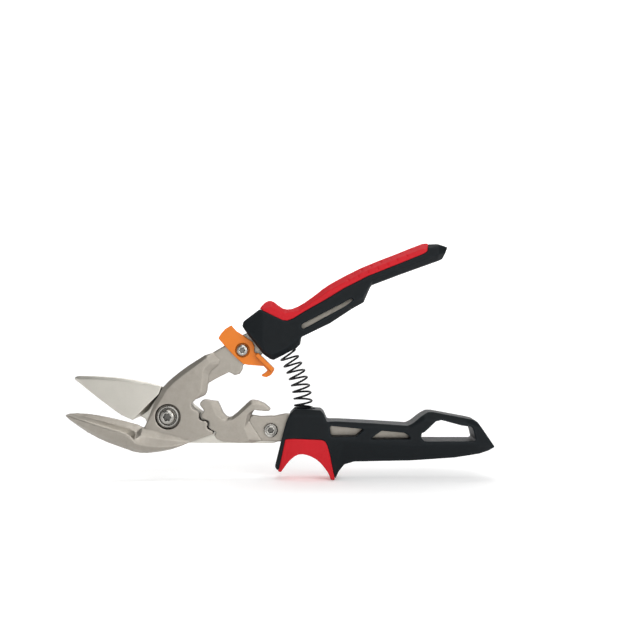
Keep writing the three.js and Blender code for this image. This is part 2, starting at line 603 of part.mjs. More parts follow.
function leverBolt() {
  const headFar = -TANG_THICK - RUNNING;
  const body = turned(LEVER_PIVOT, [
    [0, LEVER_HEAD_Y], [2.5, LEVER_HEAD_Y], [2.8, LEVER_HEAD_Y + 0.35], [3.2, LEVER_HEAD_Y + 0.35],
    [3.5, LEVER_HEAD_Y + 0.1], [LEVER_HEAD_R, LEVER_HEAD_Y + 0.8], [LEVER_HEAD_R, headFar],
    [LEVER_BOLT_R, headFar], [LEVER_BOLT_R, LEVER_END_Y - 0.4], [LEVER_BOLT_R - 0.4, LEVER_END_Y],
    [0, LEVER_END_Y],
  ]);
  return body.subtract(starSocket(LEVER_PIVOT, LEVER_SOCKET_R, LEVER_HEAD_Y, LEVER_SOCKET_DEPTH));
}

function latchScrew() {
  const headFar = LATCH_NEAR + LATCH_SEAT_DEPTH - RUNNING;
  const body = turned(LATCH_PIVOT, [
    [0, LATCH_HEAD_Y], [2.3, LATCH_HEAD_Y], [3.1, LATCH_HEAD_Y + 0.45],
    [LATCH_HEAD_R, LATCH_HEAD_Y + 1.2], [LATCH_HEAD_R, headFar], [LATCH_SCREW_R, headFar],
    [LATCH_SCREW_R, LATCH_END_Y], [0, LATCH_END_Y],
  ]);
  return body.subtract(starSocket(LATCH_PIVOT, LATCH_SOCKET_R, LATCH_HEAD_Y, LATCH_SOCKET_DEPTH));
}

const latchWasher = () => (
  ring(LATCH_PIVOT, LATCH_SCREW_R + RUNNING, 4.3, LATCH_FAR + RUNNING, -TANG_THICK - RUNNING, 0.1)
);

function latch() {
  const furrow = prism(LATCH_FURROW, LATCH_NEAR - 1, LATCH_NEAR + LATCH_FOLD_DEPTH);
  const body = plate(LATCH_PLATE, LATCH_NEAR, LATCH_FAR, 0.4, 0).subtract(furrow);
  const strip = prism(LATCH_STRIP, LATCH_STRIP_Y, LATCH_FAR - 0.2);
  return body.add(strip)
    .subtract(bore(LATCH_PIVOT, LATCH_SEAT_R, -CUT_SPAN, LATCH_NEAR + LATCH_SEAT_DEPTH))
    .subtract(bore(LATCH_PIVOT, LATCH_SCREW_R + RUNNING, -CUT_SPAN, 0));
}

// ---------------------------------------------------------------- handles
// Depth envelope: flat face on both sides with a border that falls away towards the edges.
function envelope(stations) {
  const rings = stations.map(([x, points]) => {
    const near = points.map(([z, half]) => [x, HANDLE_MID_Y - half, z]);
    const far = points.map(([z, half]) => [x, HANDLE_MID_Y + half, z]).reverse();
    return [...near, ...far];
  });
  return lengthwise(rings);
}

const upperEnvelope = () => envelope(UPPER_FACE.map(([x, top, bottom, half]) => [x, [
  [top + 3, Math.max(half - CHAMFER_DROP * 1.8, THIN_EDGE)],
  [top - CHAMFER_RUN, half],
  [bottom + CHAMFER_RUN, half],
  [bottom - 3, Math.max(half - CHAMFER_DROP * 1.8, THIN_EDGE)],
]]));

const lowerEnvelope = () => envelope(LOWER_FACE.map(([x, top, crease, bottom, half, foot]) => [x, [
  [top + 3, Math.max(half - CHAMFER_DROP * 1.5, THIN_EDGE)],
  [top - CHAMFER_RUN - 1.5, half],
  [crease, half],
  [bottom - 3, foot - 1],
]]));

// Cavity that a flat tongue sits in, slightly larger than the tongue.
const tangCavity = (loop) => prism(inset(loop, -FIT_GAP), -TANG_THICK - FIT_GAP, FIT_GAP);

// Floor and mouth of a spring pocket that follows the given end of the spring's axis.
const pocket = (end, inward) => [
  along(end, inward, -PEG_SETBACK - 0.1), along(end, inward, POCKET_REACH),
];
const UPPER_POCKET = pocket(SPRING_AXIS[0], SPRING_AXIS[1]);
const LOWER_POCKET = pocket(SPRING_AXIS[5], SPRING_AXIS[4]);

function upperGrip() {
  const loop = tidyLoop([...UPPER_GRIP_UNDER, ...UPPER_SPLIT]);
  return prism(loop, -CUT_SPAN, CUT_SPAN).intersect(upperEnvelope())
    .subtract(tangCavity(UPPER_TANG))
    .subtract(prism(UPPER_SLOT, -CUT_SPAN, -1))
    .subtract(peg(...UPPER_POCKET, POCKET_R));
}

function upperPad() {
  const seam = UPPER_SPLIT.slice(0, -1).map(([x, z]) => [x - 0.12, z + FIT_GAP]);
  const loop = tidyLoop([...smooth(UPPER_PAD_TOP, 2), ...seam]);
  return prism(loop, -CUT_SPAN, CUT_SPAN).intersect(upperEnvelope());
}

// Part of the core that reaches down inside the finger pad.
function padCore(clearance) {
  const arch = smooth(PAD_CORE_ARCH, 3);
  const loop = inset([[70.6, -6], ...arch, [93, -6]], -clearance);
  const half = HANDLE_HALF - PAD_WALL - 1 + clearance;
  return prism(loop, HANDLE_MID_Y - half, HANDLE_MID_Y + half);
}

const lowerLoop = () => tidyLoop([...LOWER_GRIP_TOP, ...smooth(FINGER_ARCH, 2), ...LOWER_GRIP_FOOT]);

function lowerGrip() {
  const whole = prism(lowerLoop(), -CUT_SPAN, CUT_SPAN).intersect(lowerEnvelope());
  return whole
    .subtract(prism(inset(FINGER_PAD, -FIT_GAP), -CUT_SPAN, CUT_SPAN))
    .add(padCore(0).intersect(whole))
    .subtract(tangCavity(LOWER_TANG))
    .subtract(bore(LEVER_PIVOT, TAIL_END_R + 0.6, 0, TAIL_FAR + 0.6))
    .subtract(prism(LOWER_SLOT_A, -CUT_SPAN, -1))
    .subtract(prism(LOWER_SLOT_B, -CUT_SPAN, -1))
    .subtract(prism(LOWER_WINDOW, -CUT_SPAN, CUT_SPAN))
    .subtract(peg(...LOWER_POCKET, POCKET_R));
}

function fingerPad() {
  return prism(lowerLoop(), -CUT_SPAN, CUT_SPAN).intersect(lowerEnvelope())
    .intersect(prism(FINGER_PAD, -CUT_SPAN, CUT_SPAN))
    .subtract(padCore(FIT_GAP))
    .subtract(tangCavity(LOWER_TANG));
}

// ---------------------------------------------------------------- spring
function springPath() {
  const knots = SPRING_AXIS.map(([x, z]) => new THREE.Vector3(x, HANDLE_MID_Y, z));
  const axis = new THREE.CatmullRomCurve3(knots);
  const path = new THREE.Curve();
  path.getPoint = (t, target = new THREE.Vector3()) => {
    const centre = axis.getPointAt(t);
    const tangent = axis.getTangentAt(t);
    const across = new THREE.Vector3(-tangent.z, 0, tangent.x);
    const angle = (t * SPRING_TURNS + SPRING_PHASE) * 2 * Math.PI;
    return target.copy(centre)
      .addScaledVector(across, SPRING_COIL_R * Math.cos(angle))
      .add(new THREE.Vector3(0, -SPRING_COIL_R * Math.sin(angle), 0));
  };
  return path;
}

function returnSpring() {
  const section = regular([0, 0], SPRING_WIRE_R, 6).map(([x, y]) => new THREE.Vector2(x, y));
  const wire = new THREE.Shape(section);
  const geometry = new THREE.ExtrudeGeometry(wire, {
    steps: Math.round(SPRING_TURNS * SPRING_STEPS_PER_TURN),
    extrudePath: springPath(),
    bevelEnabled: false,
  });
  return fromGeometry(geometry);
}

// Flanged peg that centres one end of the spring in its pocket.
function springPeg(end, inward) {
  const base = along(end, inward, -PEG_SETBACK);
  const face = along(end, inward, PEG_FLANGE_THICK - PEG_SETBACK);
  const nose = along(end, inward, PEG_LENGTH - PEG_SETBACK);
  return peg(base, face, PEG_FLANGE_R).add(peg(base, nose, PEG_R));
}

// ---------------------------------------------------------------- assembly
const pivotNut = () => hexNut(PIVOT, PIVOT_NUT_R, BOLT_R + RUNNING, NUT_NEAR, BOLT_END_Y - 0.6);
const leverNut = () => (
  hexNut(LEVER_PIVOT, LEVER_NUT_R, LEVER_BOLT_R + RUNNING, NUT_NEAR, LEVER_END_Y - 0.4)
);
const latchNut = () => (
  hexNut(LATCH_PIVOT, LATCH_NUT_R, LATCH_SCREW_R + RUNNING, RUNNING, LATCH_END_Y - 0.4)
);

const PARTS = [
  ['upper_jaw', BRIGHT_STEEL, upperJaw],
  ['lower_jaw', STEEL, lowerJaw],
  ['gear_lever', STEEL, gearLever],
  ['pivot_bolt', FASTENER, pivotBolt],
  ['pivot_washer', FASTENER, pivotWasher],
  ['pivot_rear_washer', FASTENER, () => rearWasher(PIVOT, BOLT_R, PIVOT_REAR_WASHER_R)],
  ['pivot_nut', FASTENER, pivotNut],
  ['lever_bolt', FASTENER, leverBolt],
  ['lever_rear_washer', FASTENER, () => rearWasher(LEVER_PIVOT, LEVER_BOLT_R, LEVER_WASHER_R)],
  ['lever_nut', FASTENER, leverNut],
  ['latch', ORANGE, latch],
  ['latch_screw', FASTENER, latchScrew],
  ['latch_washer', FASTENER, latchWasher],
  ['latch_nut', FASTENER, latchNut],
  ['upper_grip', BLACK, upperGrip],
  ['upper_thumb_pad', RED, upperPad],
  ['lower_grip', BLACK, lowerGrip],
  ['lower_finger_pad', RED, fingerPad],
  ['return_spring', SPRING_STEEL, returnSpring],
  ['upper_spring_peg', BLACK, () => springPeg(SPRING_AXIS[0], SPRING_AXIS[1])],
  ['lower_spring_peg', BLACK, () => springPeg(SPRING_AXIS[5], SPRING_AXIS[4])],
];

// Mesh with the origin moved to the rear end face of the main bolt.
function toMesh(name, material, body) {
  const data = body.getMesh();
  const geometry = new THREE.BufferGeometry();
  geometry.setAttribute('position', new THREE.BufferAttribute(new Float32Array(data.vertProperties), 3));
  geometry.setIndex(new THREE.BufferAttribute(new Uint32Array(data.triVerts), 1));
  geometry.translate(0, -BOLT_END_Y, 0);
  geometry.computeVertexNormals();
  const mesh = new THREE.Mesh(geometry, material);
  mesh.name = name;
  return mesh;
}

const assembly = new THREE.Group();
assembly.name = 'aviation_snips';
PARTS.forEach(([name, material, build]) => {
  assembly.add(toMesh(name, material, build()));
});

export default assembly;
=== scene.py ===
"""Looks of a pair of compound-action aviation snips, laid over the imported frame.

Metres, in the frame's own axes: +X from the blade tips to the handle ends, +Z up, and
the side with the catch and the screw heads facing -Y.
"""
import logging
import math
from dataclasses import dataclass, field
from enum import Enum

import bpy
import numpy as np
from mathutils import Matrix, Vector


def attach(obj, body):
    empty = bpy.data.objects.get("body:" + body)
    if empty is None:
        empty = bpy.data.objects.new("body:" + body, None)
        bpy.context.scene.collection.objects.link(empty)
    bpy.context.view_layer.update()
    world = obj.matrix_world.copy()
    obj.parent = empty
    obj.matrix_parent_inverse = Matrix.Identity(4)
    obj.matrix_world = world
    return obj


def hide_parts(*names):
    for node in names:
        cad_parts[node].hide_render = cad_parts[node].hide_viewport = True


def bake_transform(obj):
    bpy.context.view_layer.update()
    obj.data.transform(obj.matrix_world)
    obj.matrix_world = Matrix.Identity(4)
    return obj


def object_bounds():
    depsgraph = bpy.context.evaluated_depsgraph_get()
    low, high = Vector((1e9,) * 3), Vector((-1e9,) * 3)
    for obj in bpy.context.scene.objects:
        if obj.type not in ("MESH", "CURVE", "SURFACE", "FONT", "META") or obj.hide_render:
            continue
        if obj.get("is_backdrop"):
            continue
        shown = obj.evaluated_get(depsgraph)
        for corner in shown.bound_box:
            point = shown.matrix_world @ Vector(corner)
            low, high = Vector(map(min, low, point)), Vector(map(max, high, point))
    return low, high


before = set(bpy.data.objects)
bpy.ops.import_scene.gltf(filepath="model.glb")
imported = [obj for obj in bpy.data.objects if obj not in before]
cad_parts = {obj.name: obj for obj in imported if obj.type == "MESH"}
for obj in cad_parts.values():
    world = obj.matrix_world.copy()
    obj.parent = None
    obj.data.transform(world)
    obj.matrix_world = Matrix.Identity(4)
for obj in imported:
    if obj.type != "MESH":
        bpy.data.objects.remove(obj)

log = logging.getLogger("snips")
MM = 0.001
Colour = tuple[float, float, float]
WHITE = (1.0, 1.0, 1.0, 1.0)
SPRING_NAME = "return_spring_wire"

# mesh building
WELD_GAP = 0.002 * MM
SMOOTH_FACTOR = 0.5
CURVATURE_BLUR_PASSES = 2
CURVATURE_BLUR_SHARE = 0.5

# surface building
COAT_ROUGHNESS = 0.25
BUMP_STRENGTH = 0.6
MOTTLE_DETAIL = 3.0
GRAIN_DETAIL = 3.0
SHEEN_DETAIL = 4.0
SHEEN_SCALE = 4
SHEEN_START = 0.3
SHEEN_END = 0.7
# Painted shade in narrow gaps, found by ambient occlusion.
GAP_SAMPLES = 6
GAP_DARKEST = 0.75
GAP_START = 0.1
GAP_END = 0.9


class Body(str, Enum):
    """Bodies of the frame that a piece can ride on."""

    FRAME = "frame"
    UPPER_HANDLE = "upper_handle"
    LOWER_HANDLE = "lower_handle"
    LATCH = "latch"


# ---------------------------------------------------------------- node helpers
class Graph:
    """Small wrapper that adds and links shader nodes.

    Args:
        material: Material whose node tree is filled.
    """

    def __init__(self, material: bpy.types.Material) -> None:
        """Empties the material's node tree, ready to be filled.

        Args:
            material: Material whose node tree is filled.
        """
        material.use_nodes = True
        self.tree = material.node_tree
        self.tree.nodes.clear()

    def add(self, kind: str, **settings: object) -> bpy.types.Node:
        """Adds one node.

        Args:
            kind: Blender's class name of the node.
            **settings: Node properties to set.

        Returns:
            The new node.
        """
        node = self.tree.nodes.new(kind)
        for key, value in settings.items():
            setattr(node, key, value)
        return node

    def link(self, source: bpy.types.NodeSocket, target: bpy.types.NodeSocket) -> None:
        """Links two sockets.

        Args:
            source: Output socket.
            target: Input socket.
        """
        self.tree.links.new(source, target)

    def noise(
        self, size: float, detail: float = 2.0, stretch: tuple[float, float, float] = (1, 1, 1),
    ) -> bpy.types.NodeSocket:
        """Noise in object space.

        Args:
            size: Typical feature size in metres.
            detail: Octaves of the noise.
            stretch: Scale of each axis, larger is finer.

        Returns:
            The noise's value socket, 0 to 1.
        """
        coords = self.add("ShaderNodeTexCoord")
        mapping = self.add("ShaderNodeMapping")
        mapping.inputs["Scale"].default_value = stretch
        texture = self.add("ShaderNodeTexNoise")
        texture.inputs["Scale"].default_value = 1.0 / size
        texture.inputs["Detail"].default_value = detail
        self.link(coords.outputs["Object"], mapping.inputs["Vector"])
        self.link(mapping.outputs["Vector"], texture.inputs["Vector"])
        return texture.outputs["Fac"]

    def cells(self, size: float) -> bpy.types.NodeSocket:
        """Rounded cells in object space, as left by spark erosion on a mould.

        Args:
            size: Cell size in metres.

        Returns:
            Distance socket of the cells.
        """
        coords = self.add("ShaderNodeTexCoord")
        texture = self.add("ShaderNodeTexVoronoi", feature="SMOOTH_F1")
        texture.inputs["Scale"].default_value = 1.0 / size
        self.link(coords.outputs["Object"], texture.inputs["Vector"])
        return texture.outputs["Distance"]

    def remap(
        self, value: bpy.types.NodeSocket, low: float, high: float, start: float = 0.0, end: float = 1.0,
    ) -> bpy.types.NodeSocket:
        """Maps a value from one range to another.

        Args:
            value: Input socket.
            low: Result at start.
            high: Result at end.
            start: Lowest input.
            end: Highest input.

        Returns:
            The mapped socket.
        """
        node = self.add("ShaderNodeMapRange")
        node.inputs["From Min"].default_value = start
        node.inputs["From Max"].default_value = end
        node.inputs["To Min"].default_value = low
        node.inputs["To Max"].default_value = high
        self.link(value, node.inputs["Value"])
        return node.outputs["Result"]

    def mix(self, factor: bpy.types.NodeSocket, first: object, second: object) -> bpy.types.NodeSocket:
        """Mixes two colours, each a socket or a colour.

        Args:
            factor: Mix factor socket.
            first: Colour at 0.
            second: Colour at 1.

        Returns:
            The mixed colour socket.
        """
        node = self.add("ShaderNodeMix", data_type="RGBA")
        self.link(factor, node.inputs["Factor"])
        for socket, colour in ((node.inputs[6], first), (node.inputs[7], second)):
            if isinstance(colour, bpy.types.NodeSocket):
                self.link(colour, socket)
            else:
                socket.default_value = (*colour, 1.0)
        return node.outputs[2]

    def attribute(self, name: str) -> bpy.types.NodeSocket:
        """Reads a per-vertex value that a piece carries.

        Args:
            name: Name of the attribute.

        Returns:
            Its value socket.
        """
        return self.add("ShaderNodeAttribute", attribute_name=name).outputs["Fac"]


def shade(colour: Colour, gain: float) -> Colour:
    """Scales a colour.

    Args:
        colour: Linear colour.
        gain: Factor.

    Returns:
        The scaled colour.
    """
    return tuple(min(channel * gain, 1.0) for channel in colour)


# ---------------------------------------------------------------- finishes
@dataclass(frozen=True)
class Finish:
    """Shared settings of a procedural surface.

    Attributes:
        name: Material name.
        colour: Linear base colour.
        roughness: Mean roughness.
        spread: Change of roughness over the mottling.
        grain: Size of the fine relief in metres.
        relief: Depth of the fine relief in metres.
        edge_gain: How much lighter the edges are, partly rubbed bare and partly a painted highlight.
        metallic: 1 for bare metal.
        shade_gain: How much darker the painted shade in hollow corners and narrow gaps is.
        shade_reach: How near another face has to be for painted shade to fall, in metres.
        mottle: Size of the broad patches in metres.
        tint: How far the patches swing in brightness.
        coat: Weight of a clear coat.
        specular: Level of the highlight on a non-metal.
        cellular: Whether the fine relief is rounded cells instead of noise.
        streak: Scale of the fine relief along each axis, larger is finer.
    """

    name: str
    colour: Colour
    roughness: float
    spread: float
    grain: float
    relief: float
    edge_gain: float = 1.0
    metallic: float = 0.0
    shade_gain: float = 0.25
    shade_reach: float = 2.2 * MM
    mottle: float = 9 * MM
    tint: float = 0.08
    coat: float = 0.0
    specular: float = 0.5
    cellular: bool = False
    streak: tuple[float, float, float] = (1.0, 1.0, 1.0)

    def material(self) -> bpy.types.Material:
        """Builds the material, once per name.

        Returns:
            The node-based material.
        """
        known = bpy.data.materials.get(self.name)
        if known:
            return known
        material = bpy.data.materials.new(self.name)
        graph = Graph(material)
        shader = graph.add("ShaderNodeBsdfPrincipled")
        output = graph.add("ShaderNodeOutputMaterial")
        graph.link(shader.outputs["BSDF"], output.inputs["Surface"])
        mottle = graph.noise(self.mottle, MOTTLE_DETAIL)
        body = graph.mix(mottle, shade(self.colour, 1 - self.tint), shade(self.colour, 1 + self.tint))
        # Convex edges are lightened, partly rubbed bare and partly a painted highlight.
        edge = graph.attribute("edge_wear_and_highlight")
        worn_and_highlit = graph.mix(edge, body, shade(self.colour, self.edge_gain))
        # Hollow corners are darkened with painted shade.
        hollow_shade_mask = graph.attribute("hollow_shade")
        shaded_colour = graph.mix(hollow_shade_mask, worn_and_highlit, shade(self.colour, self.shade_gain))
        # Narrow gaps between faces are darkened with painted shade, found by ambient occlusion.
        gap = graph.add("ShaderNodeAmbientOcclusion", samples=GAP_SAMPLES)
        gap.inputs["Distance"].default_value = self.shade_reach
        gap_shade_factor = graph.remap(gap.outputs["AO"], GAP_DARKEST, 0.0, GAP_START, GAP_END)
        colour = graph.mix(gap_shade_factor, shaded_colour, shade(self.colour, self.shade_gain))
        graph.link(colour, shader.inputs["Base Color"])
        sheen = graph.noise(self.grain * SHEEN_SCALE, SHEEN_DETAIL, self.streak)
        dull, bright = self.roughness + self.spread, self.roughness - self.spread
        rough = graph.remap(sheen, bright, dull, SHEEN_START, SHEEN_END)
        graph.link(rough, shader.inputs["Roughness"])
        shader.inputs["Metallic"].default_value = self.metallic
        shader.inputs["Specular IOR Level"].default_value = self.specular
        shader.inputs["Coat Weight"].default_value = self.coat
        shader.inputs["Coat Roughness"].default_value = COAT_ROUGHNESS
        if self.cellular:
            height = graph.cells(self.grain)
        else:
            height = graph.noise(self.grain, GRAIN_DETAIL, self.streak)
        bump = graph.add("ShaderNodeBump")
        bump.inputs["Strength"].default_value = BUMP_STRENGTH
        bump.inputs["Distance"].default_value = self.relief
        graph.link(height, bump.inputs["Height"])
        graph.link(bump.outputs["Normal"], shader.inputs["Normal"])
        return material


FORGED = Finish(
    "forged_steel_satin",
    colour=(0.33, 0.305, 0.268),
    roughness=0.44,
    spread=0.07,
    grain=0.3 * MM,
    relief=0.035 * MM,
    edge_gain=1.45,
    metallic=1.0,
    mottle=4 * MM,
    tint=0.1,
)
BLADE = Finish(
    "blade_steel_satin",
    colour=(0.55, 0.53, 0.48),
    roughness=0.4,
    spread=0.05,
    grain=0.2 * MM,
    relief=0.014 * MM,
    edge_gain=1.3,
    metallic=1.0,
    streak=(0.35, 1, 1),
)
PLATED = Finish(
    "fastener_zinc",
    colour=(0.36, 0.35, 0.325),
    roughness=0.26,
    spread=0.07,
    grain=0.15 * MM,
    relief=0.01 * MM,
    edge_gain=1.5,
    metallic=1.0,
)
OXIDE = Finish(
    "spring_black_oxide",
    colour=(0.005, 0.005, 0.006),
    roughness=0.42,
    spread=0.08,
    grain=0.2 * MM,
    relief=0.012 * MM,
    edge_gain=1.6,
    metallic=0.2,
    specular=0.25,
)
NYLON = Finish(
    "grip_nylon_black",
    colour=(0.005, 0.0072, 0.0088),
    roughness=0.5,
    spread=0.06,
    grain=0.42 * MM,
    relief=0.02 * MM,
    edge_gain=3.0,
    specular=0.14,
    cellular=True,
)
RUBBER = Finish(
    "pad_rubber_red",
    colour=(0.5, 0.006, 0.013),
    roughness=0.55,
    spread=0.06,
    grain=0.38 * MM,
    relief=0.02 * MM,
    edge_gain=1.15,
    specular=0.22,
    cellular=True,
)
POWDER = Finish(
    "latch_powder_orange",
    colour=(0.68, 0.175, 0.008),
    roughness=0.4,
    spread=0.06,
    grain=0.5 * MM,
    relief=0.015 * MM,
    edge_gain=1.25,
    coat=0.1,
    specular=0.25,
)


# ---------------------------------------------------------------- mesh helpers
def link_new(name: str, mesh: bpy.types.Mesh) -> bpy.types.Object:
    """Puts a mesh into the scene as a new object.

    Args:
        name: Name of the object.
        mesh: Its mesh.

    Returns:
        The object.
    """
    piece = bpy.data.objects.new(name, mesh)
    bpy.context.scene.collection.objects.link(piece)
    return piece


def baked_mesh(piece: bpy.types.Object) -> None:
    """Replaces a piece's mesh by the result of its modifiers.

    Args:
        piece: Object to bake in place.
    """
    depsgraph = bpy.context.evaluated_depsgraph_get()
    result = bpy.data.meshes.new_from_object(piece.evaluated_get(depsgraph))
    piece.modifiers.clear()
    piece.data = result


def mark_edges(piece: bpy.types.Object, gain: float) -> None:
    """Stores how convex or hollow each vertex is, for rubbed edges with a painted highlight and for
    painted shade in corners.

    Args:
        piece: Object with an even mesh.
        gain: Scale from relative convexity to the edge and corner marks.
    """
    mesh = piece.data
    count = len(mesh.vertices)
    points = np.empty(count * 3)
    mesh.vertices.foreach_get("co", points)
    points = points.reshape(-1, 3)
    normals = np.empty(count * 3)
    mesh.vertices.foreach_get("normal", normals)
    normals = normals.reshape(-1, 3)
    pairs = np.empty(len(mesh.edges) * 2, dtype=np.int64)
    mesh.edges.foreach_get("vertices", pairs)
    first, second = pairs.reshape(-1, 2).T
    total = np.zeros((count, 3))
    degree = np.zeros(count)
    for here, there in ((first, second), (second, first)):
        np.add.at(total, here, points[there])
        np.add.at(degree, here, 1)
    middle = total / np.maximum(degree, 1)[:, None]
    length = np.linalg.norm(points[first] - points[second], axis=1).mean()
    convex = np.einsum("ij,ij->i", points - middle, normals) / length
    for _ in range(CURVATURE_BLUR_PASSES):
        spread = np.zeros(count)
        for here, there in ((first, second), (second, first)):
            np.add.at(spread, here, convex[there])
        around = spread / np.maximum(degree, 1)
        convex = (1 - CURVATURE_BLUR_SHARE) * convex + CURVATURE_BLUR_SHARE * around
    # Convex vertices get lighter edges, partly rubbed and partly a painted highlight; hollow ones get
    # painted shade.
    for name, value in (("edge_wear_and_highlight", convex), ("hollow_shade", -convex)):
        layer = mesh.attributes.new(name, "FLOAT", "POINT")
        layer.data.foreach_set("value", np.clip(value * gain, 0.0, 1.0).astype(np.float32))


def refined(
    node: str, name: str, voxel: float, rounds: int, gain: float = 3.0, grow: float = 0.0,
) -> bpy.types.Object:
    """New piece with the form of a CAD node, evenly meshed and with softened edges.

    Args:
        node: CAD node whose form is taken.
        name: Name of the piece.
        voxel: Mesh size in metres.
        rounds: Smoothing passes, more gives rounder edges.
        gain: Strength of the rubbed edges with their painted highlight and of the painted shade in
            hollows.
        grow: How far the surface is moved outwards, to close the gap to a neighbour.

    Returns:
        The piece.
    """
    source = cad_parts[node]
    mesh = source.data.copy()
    mesh.transform(source.matrix_world)
    mesh.materials.clear()
    for layer in [item.name for item in mesh.uv_layers]:
        mesh.uv_layers.remove(mesh.uv_layers[layer])
    piece = link_new(name, mesh)
    weld = piece.modifiers.new("weld", "WELD")
    weld.merge_threshold = WELD_GAP
    remesh = piece.modifiers.new("remesh", "REMESH")
    remesh.mode = "VOXEL"
    remesh.voxel_size = voxel
    smooth = piece.modifiers.new("smooth", "SMOOTH")
    smooth.factor = SMOOTH_FACTOR
    smooth.iterations = rounds
    if grow:
        swell = piece.modifiers.new("swell", "DISPLACE")
        swell.strength = grow
        swell.mid_level = 0.0
    baked_mesh(piece)
    piece.data.shade_smooth()
    mark_edges(piece, gain)
    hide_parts(node)
    return piece


def points_of(piece: bpy.types.Object) -> np.ndarray:
    """Vertex positions of a piece.

    Args:
        piece: Mesh object.

    Returns:
        Array of positions, one row per vertex.
    """
    flat = np.empty(len(piece.data.vertices) * 3)
    piece.data.vertices.foreach_get("co", flat)
    return flat.reshape(-1, 3)


def set_points(piece: bpy.types.Object, points: np.ndarray) -> None:
    """Writes vertex positions back.

    Args:
        piece: Mesh object.
        points: Array of positions.
    """
    piece.data.vertices.foreach_set("co", points.ravel())
    piece.data.update()


@dataclass
class Piece:
    """One finished piece that rides on a body.

    Attributes:
        obj: The Blender object.
        body: Body it moves with.
        finish: Its surface.
        slot: Material slot of the record; not used.
    """

    obj: bpy.types.Object
    body: Body
    finish: Finish
    slot: str

    def dress(self) -> None:
        """Gives the piece its material and fixes it to its body."""
        self.obj.data.materials.clear()
        self.obj.data.materials.append(self.finish.material())
        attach(self.obj, self.body.value)
        log.info("%s rides on %s", self.obj.name, self.body.value)


# ---------------------------------------------------------------- sub-assemblies
@dataclass
class Assembly:
    """A group of pieces that is built first and dressed afterwards.

    Attributes:
        pieces: The finished pieces, filled by build().
    """

    pieces: list[Piece] = field(default_factory=list)

    def dress(self) -> None:
        """Gives every piece its surface and its body."""
        for piece in self.pieces:
            piece.dress()


@dataclass
class Jaws(Assembly):
    """The two cutting jaws and the geared lever.

    Attributes:
        voxel: Mesh size of the forgings.
        rounds: Smoothing passes.
        blade_rounds: Smoothing passes of the sharper upper blade.
        fine: Share of the mesh size used on the upper blade and the lever.
    """

    voxel: float = 0.36 * MM
    rounds: int = 3
    blade_rounds: int = 2
    fine: float = 0.8

    def build(self) -> None:
        """Builds the three forgings."""
        fine = self.voxel * self.fine
        upper = refined("upper_jaw", "upper_jaw_forging", fine, self.blade_rounds)
        lower = refined("lower_jaw", "lower_jaw_forging", self.voxel, self.rounds)
        lever = refined("gear_lever", "gear_lever_forging", fine, self.rounds)
        self.pieces = [
            Piece(upper, Body.FRAME, BLADE, "blade_steel"),
            Piece(lower, Body.UPPER_HANDLE, FORGED, "forged_steel"),
            Piece(lever, Body.LOWER_HANDLE, FORGED, "forged_steel"),
        ]


@dataclass
class Fasteners(Assembly):
    """Bolts, screws, washers and nuts.

    Attributes:
        voxel: Mesh size of the small turned pieces.
        thin: Share of the mesh size used on the thin catch washer.
        rounds: Smoothing passes.
        wear_and_painted_light: Strength of the rubbed edges with their painted highlight and of the
            painted shade in hollows.
        lip: Depth below the head's face that stays free of painted shade.
        socket_depth: How deep the painted shade goes.
        socket_shade: How dark the painted shade inside a socket is, 0 to 1.
        sockets: Radius of the star socket of each screw that has one.
        on_frame: Fasteners that stay with the fixed body.
        on_handle: Fasteners that move with the upper handle.
    """

    voxel: float = 0.14 * MM
    thin: float = 0.7
    rounds: int = 2
    wear_and_painted_light: float = 2.5
    lip: float = 0.35 * MM
    socket_depth: float = 3.6 * MM
    socket_shade: float = 0.9
    sockets: dict[str, float] = field(
        default_factory=lambda: {
            "pivot_bolt": 2.75 * MM,
            "lever_bolt": 2.05 * MM,
            "latch_screw": 1.9 * MM,
        },
    )
    on_frame: tuple[str, ...] = (
        "pivot_bolt",
        "pivot_washer",
        "pivot_rear_washer",
        "pivot_nut",
        "lever_bolt",
        "lever_rear_washer",
        "lever_nut",
    )
    on_handle: tuple[str, ...] = ("latch_screw", "latch_washer", "latch_nut")

    def build(self) -> None:
        """Builds each fastener from its CAD form."""
        for names, body in ((self.on_frame, Body.FRAME), (self.on_handle, Body.UPPER_HANDLE)):
            for name in names:
                voxel = self.voxel * (self.thin if name == "latch_washer" else 1.0)
                obj = refined(name, f"{name}_turned", voxel, self.rounds, self.wear_and_painted_light)
                if name in self.sockets:
                    self.shade_socket(obj, self.sockets[name])
                self.pieces.append(Piece(obj, body, PLATED, "fastener_steel"))

    def shade_socket(self, piece: bpy.types.Object, radius: float) -> None:
        """Paints shade into the inside of a star socket.

        Args:
            piece: Bolt or screw, head towards -Y.
            radius: Radius of its socket.
        """
        points = points_of(piece)
        centre = 0.5 * (points.max(axis=0) + points.min(axis=0))
        away = np.hypot(points[:, 0] - centre[0], points[:, 2] - centre[2])
        below = points[:, 1] - points[:, 1].min()
        # Vertices inside the socket get painted shade.
        inside = (away < radius) & (below > self.lip) & (below < self.socket_depth)
        layer = piece.data.attributes["hollow_shade"]
        values = np.empty(len(points), dtype=np.float32)
        layer.data.foreach_get("value", values)
        layer.data.foreach_set("value", np.where(inside, self.socket_shade, values).astype(np.float32))


@dataclass
class Catch(Assembly):
    """The swinging catch of folded sheet.

    Attributes:
        voxel: Mesh size of the sheet.
        rounds: Smoothing passes.
        wear_and_painted_light: Strength of the rubbed edges with their painted highlight and of the
            painted shade in hollows.
    """

    voxel: float = 0.2 * MM
    rounds: int = 2
    wear_and_painted_light: float = 4.0

    def build(self) -> None:
        """Builds the catch."""
        obj = refined("latch", "latch_plate", self.voxel, self.rounds, self.wear_and_painted_light)
        self.pieces = [Piece(obj, Body.LATCH, POWDER, "latch_orange")]


